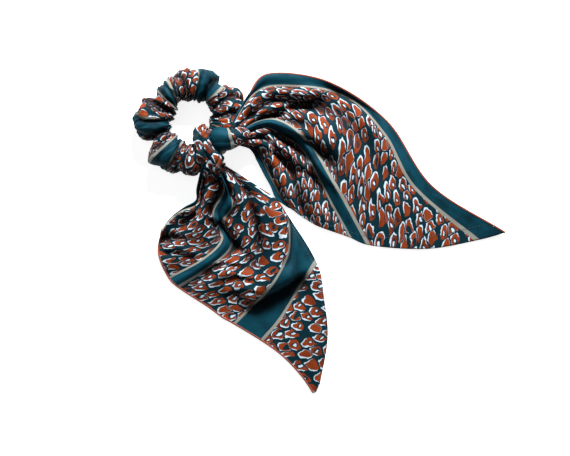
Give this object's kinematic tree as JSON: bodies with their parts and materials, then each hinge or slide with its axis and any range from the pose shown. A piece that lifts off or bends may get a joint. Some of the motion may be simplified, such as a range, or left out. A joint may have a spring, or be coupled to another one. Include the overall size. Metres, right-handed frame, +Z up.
{
  "type": "scarf scrunchie",
  "caption": "Gathered hair scrunchie with a printed scarf knotted round it, its two free ends fanned out flat.",
  "frame": {"origin": "middle of the base of the object as it lies on a table", "axes": "+Z up from the table, +X along the layout from the ring to the tip of the upper end, +Y across it"},
  "size_m": [0.3394, 0.3018, 0.0348],
  "materials": {
    "scarf_print": "satin-woven cloth printed with rust spots, pale edges and teal stripes",
    "rust_overlock": "rolled edge of dense rust thread",
    "seam_thread": "teal sewing thread",
    "elastic": "braided flat elastic"
  },
  "bodies": {
    "ring": {"ring_casing": "scarf_print", "casing_seam_thread": "seam_thread", "elastic_band": "elastic", "elastic_join_stitch": "seam_thread", "scarf_loop": "scarf_print", "scarf_knot": "scarf_print"},
    "upper_end": {"upper_tail": "scarf_print", "upper_tail_hem": "rust_overlock", "upper_tail_topstitch": "seam_thread"},
    "lower_end": {"lower_tail": "scarf_print", "lower_tail_hem": "rust_overlock", "lower_tail_topstitch": "seam_thread"}
  },
  "joints": [
    {"name": "upper_tail_lift", "type": "hinge", "parent": "ring", "child": "upper_end", "pos_m": [-0.09623, 0.07935, 0.027], "axis": [-0.3502, -0.9367, 0], "range_deg": [0, 45]},
    {"name": "lower_tail_lift", "type": "hinge", "parent": "ring", "child": "lower_end", "pos_m": [-0.09623, 0.07935, 0.027], "axis": [-0.8965, -0.4431, 0], "range_deg": [0, 45]}
  ]
}
